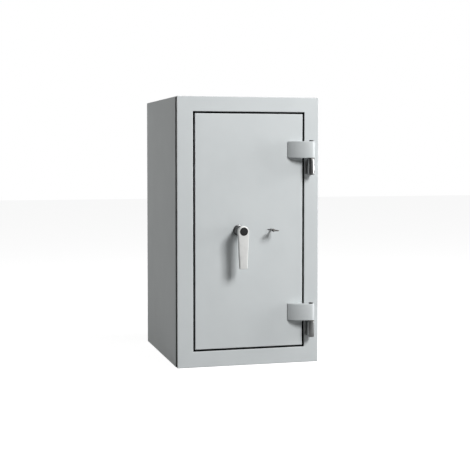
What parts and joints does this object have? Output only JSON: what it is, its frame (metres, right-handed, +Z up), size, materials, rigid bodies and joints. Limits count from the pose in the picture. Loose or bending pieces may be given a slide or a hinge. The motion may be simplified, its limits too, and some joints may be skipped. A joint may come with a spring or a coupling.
{
  "type": "free-standing security safe",
  "caption": "Free-standing double-walled steel safe with a right-hung door, external hinges, lever handle, key lock, working boltwork and shelves.",
  "frame": {"origin": "centre of the casing's base, on the floor", "axes": "+X to the right seen from the front, +Y from the front into the safe, +Z up"},
  "size_m": [0.545, 0.676, 1],
  "materials": {
    "paint": "fine-grained light grey powder coat, semi-matt",
    "interior_paint": "smooth light grey powder coat",
    "filling": null,
    "black_plastic": "black moulded plastic",
    "seal_rubber": "black foam seal strip",
    "zinc_steel": "zinc-plated sheet and bar",
    "bright_steel": "ground bright steel",
    "satin_nickel": "satin nickel plate",
    "brass": "machined brass",
    "key_nickel": "dark nickel-plated steel"
  },
  "bodies": {
    "casing": {"front_frame": "paint", "casing_wrap": "paint", "base_plate": "paint", "rear_plate": "paint", "wall_filling": "filling", "liner_wrap": "interior_paint", "liner_back": "interior_paint", "casing_joint_strips": "black_plastic", "door_seal": "seal_rubber", "bolt_sockets": "zinc_steel", "dog_sockets": "zinc_steel", "anchor_sleeves": "zinc_steel", "anchor_plugs": "black_plastic", "shelf_rails": "interior_paint", "shelf_pegs": "zinc_steel", "shelf_1": "interior_paint", "shelf_2": "interior_paint", "hinge_barrels": "bright_steel", "hinge_pins": "bright_steel", "hinge_washers": "brass"},
    "door": {"door_front_plate": "paint", "door_pan": "paint", "door_filling": "filling", "mounting_plate": "zinc_steel", "door_rear_cover": "paint", "cover_screws": "zinc_steel", "fixed_dogs": "bright_steel", "dog_nuts": "zinc_steel", "key_guide_tube": "zinc_steel", "spindle_bush": "brass", "bar_guide_posts": "bright_steel", "rod_guides": "zinc_steel", "handle_rosette": "satin_nickel", "lower_hinge_wing": "paint", "upper_hinge_wing": "paint", "pin_caps": "black_plastic", "lock_case": "zinc_steel", "lock_cover": "zinc_steel", "lock_screws": "zinc_steel", "lever_post": "bright_steel"},
    "handle": {"handle_neck": "satin_nickel", "handle_grub_screw": "bright_steel", "handle_lever": "satin_nickel", "handle_cap": "black_plastic", "handle_spindle": "bright_steel", "spindle_clip": "bright_steel", "bolt_pinion": "bright_steel"},
    "side_boltwork": {"side_bolt_bar": "zinc_steel", "drive_rack": "zinc_steel", "bar_rivets": "zinc_steel", "side_bolts": "bright_steel", "side_bolt_screws": "zinc_steel"},
    "top_boltwork": {"top_rod": "zinc_steel", "top_bolt": "bright_steel"},
    "bottom_boltwork": {"bottom_rod": "zinc_steel", "bottom_bolt": "bright_steel"},
    "lock_rotor": {"lock_curtain": "brass"},
    "key": {"key": "key_nickel"},
    "lock_bolt": {"lock_bolt": "bright_steel"},
    "lock_levers": {"lock_levers": "brass"}
  },
  "joints": [
    {"name": "door_hinge", "type": "hinge", "parent": "casing", "child": "door", "pos_m": [0.2345, -0.328, 0.5], "axis": [0, 0, 1], "range_deg": [0, 180]},
    {"name": "handle_turn", "type": "hinge", "parent": "door", "child": "handle", "pos_m": [-0.04, -0.3, 0.5055], "axis": [0, 1, 0], "range_deg": [0, 90]},
    {"name": "side_bolt_slide", "type": "slide", "parent": "door", "child": "side_boltwork", "axis": [-1, 0, 0], "range_m": [0, 0.0284]},
    {"name": "top_bolt_slide", "type": "slide", "parent": "door", "child": "top_boltwork", "axis": [0, 0, 1], "range_m": [0, 0.0284]},
    {"name": "bottom_bolt_slide", "type": "slide", "parent": "door", "child": "bottom_boltwork", "axis": [0, 0, -1], "range_m": [0, 0.0284]},
    {"name": "key_turn", "type": "hinge", "parent": "door", "child": "lock_rotor", "pos_m": [0.087, -0.25, 0.5055], "axis": [0, 1, 0], "range_deg": [0, 180]},
    {"name": "key_withdraw", "type": "slide", "parent": "lock_rotor", "child": "key", "axis": [0, -1, 0], "range_m": [0, 0.09]},
    {"name": "lock_bolt_slide", "type": "slide", "parent": "door", "child": "lock_bolt", "axis": [0, 0, -1], "range_m": [0, 0.0101]},
    {"name": "lock_lever_lift", "type": "hinge", "parent": "door", "child": "lock_levers", "pos_m": [0.109, -0.24, 0.5555], "axis": [0, 1, 0], "range_deg": [0, 4.05]}
  ],
  "couplings": [
    {"joint": "side_bolt_slide", "follows": "handle_turn", "m_per_rad": 0.018},
    {"joint": "top_bolt_slide", "follows": "handle_turn", "m_per_rad": 0.018},
    {"joint": "bottom_bolt_slide", "follows": "handle_turn", "m_per_rad": 0.018},
    {"joint": "lock_bolt_slide", "follows": "key_turn", "m_per_rad": 0.0031831},
    {"joint": "lock_lever_lift", "follows": "key_turn", "ratio": 0.022222}
  ]
}
